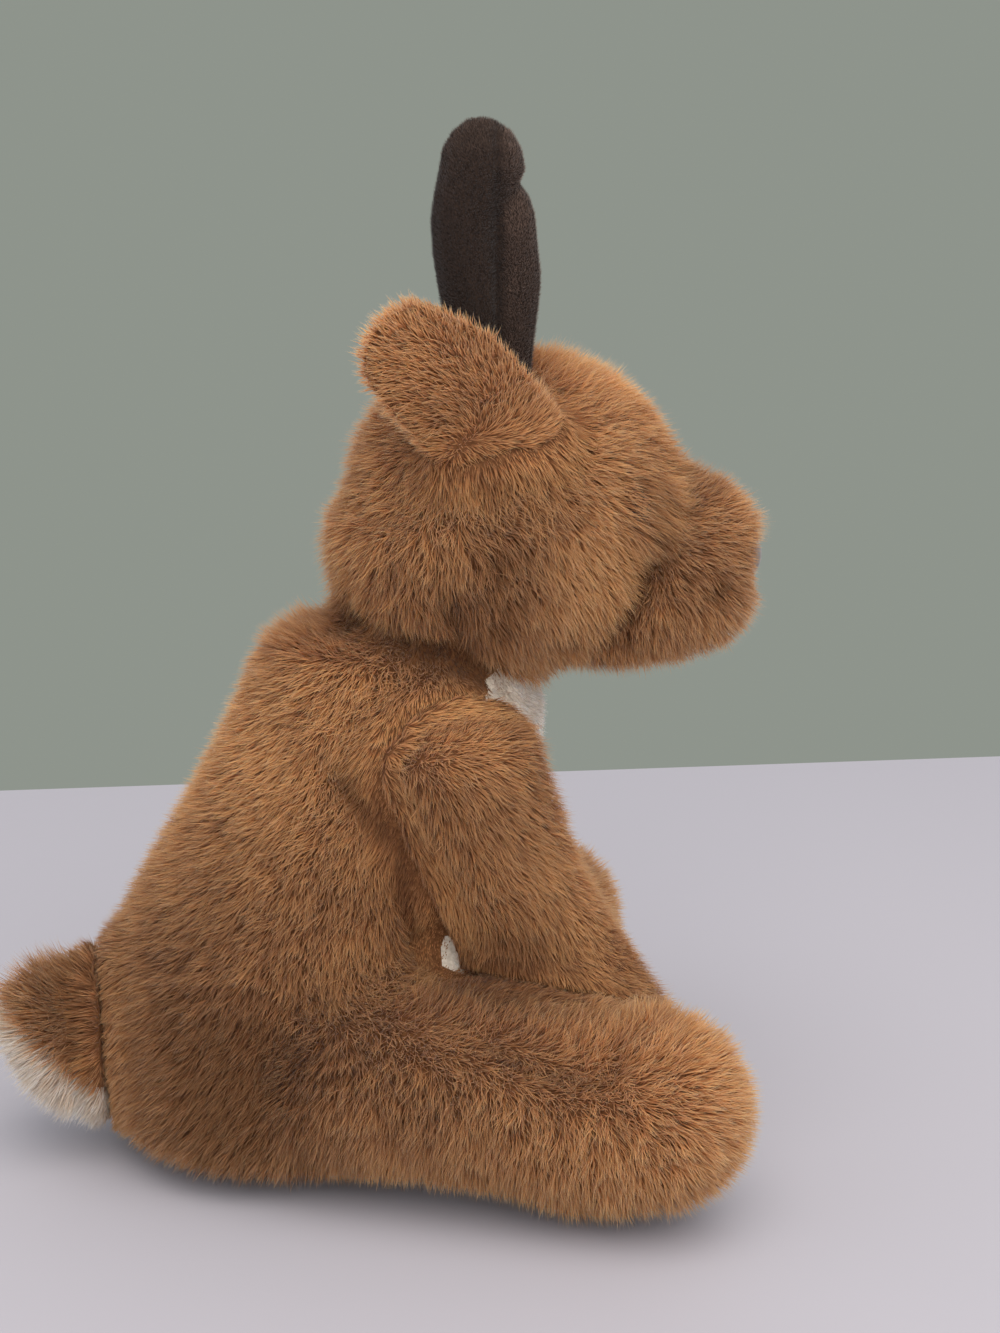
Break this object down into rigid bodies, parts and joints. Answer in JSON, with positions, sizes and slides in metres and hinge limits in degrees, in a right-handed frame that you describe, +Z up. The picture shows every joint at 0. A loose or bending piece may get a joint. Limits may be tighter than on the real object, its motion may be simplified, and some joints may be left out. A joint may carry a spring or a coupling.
{
  "type": "plush deer",
  "caption": "Sitting stuffed deer sewn from brown fur cloth, with a cream belly and tail underside, splayed rear legs, upright dark antlers and swept-back ears.",
  "frame": {"origin": "middle of the flat patch under the seat, on the surface that the deer sits on", "axes": "+Z up; the deer's head faces -Y; +X is its own left; its legs and tail point 10 degrees to the left of the head"},
  "size_m": [0.202, 0.2156, 0.285],
  "materials": {
    "brown_fur": "long soft pile",
    "cream_fur": "soft pile",
    "antler_suede": "short nap",
    "stuffing": "loose fibre",
    "eye_gloss": "polished",
    "nose_gloss": "soft gloss",
    "washer_plastic": "plain"
  },
  "bodies": {
    "torso": {"body_skin": "brown_fur", "belly_panel": "cream_fur", "body_stuffing": "stuffing", "seat_pellet_bag": "stuffing", "head_skin": "brown_fur", "head_stuffing": "stuffing", "muzzle_skin": "brown_fur", "muzzle_stuffing": "stuffing", "right_eye": "eye_gloss", "left_eye": "eye_gloss", "right_eye_washer": "washer_plastic", "left_eye_washer": "washer_plastic", "nose": "nose_gloss", "nose_washer": "washer_plastic", "right_rear_leg_skin": "brown_fur", "right_rear_leg_stuffing": "stuffing", "left_rear_leg_skin": "brown_fur", "left_rear_leg_stuffing": "stuffing", "right_antler": "antler_suede", "left_antler": "antler_suede"},
    "right_front_leg": {"right_front_leg_skin": "brown_fur", "right_front_leg_stuffing": "stuffing"},
    "left_front_leg": {"left_front_leg_skin": "brown_fur", "left_front_leg_stuffing": "stuffing"},
    "right_ear": {"right_ear_back": "brown_fur", "right_ear_lining": "cream_fur"},
    "left_ear": {"left_ear_back": "brown_fur", "left_ear_lining": "cream_fur"},
    "tail": {"tail_top": "brown_fur", "tail_underside": "cream_fur"}
  },
  "joints": [
    {"name": "right_front_leg_swing", "type": "hinge", "parent": "torso", "child": "right_front_leg", "pos_m": [-0.034, -0.05797, 0.13805], "axis": [-0.9848, -0.1736, 0], "range_deg": [0, 25], "stiffness_Nm_per_rad": 0.3},
    {"name": "left_front_leg_swing", "type": "hinge", "parent": "torso", "child": "left_front_leg", "pos_m": [0.05178, -0.04284, 0.13805], "axis": [-0.9848, -0.1736, 0], "range_deg": [0, 25], "stiffness_Nm_per_rad": 0.3},
    {"name": "right_ear_flex", "type": "hinge", "parent": "torso", "child": "right_ear", "pos_m": [-0.03739, -0.07939, 0.20042], "axis": [0, -0.6196, 0.7849], "range_deg": [0, 18], "stiffness_Nm_per_rad": 0.05},
    {"name": "left_ear_flex", "type": "hinge", "parent": "torso", "child": "left_ear", "pos_m": [0.03733, -0.07974, 0.20093], "axis": [0, 0.5178, -0.8555], "range_deg": [0, 18], "stiffness_Nm_per_rad": 0.05},
    {"name": "tail_flex", "type": "hinge", "parent": "torso", "child": "tail", "pos_m": [-0.00938, 0.05321, 0.06508], "axis": [0.9848, 0.1736, 0], "range_deg": [0, 15], "stiffness_Nm_per_rad": 0.06}
  ]
}
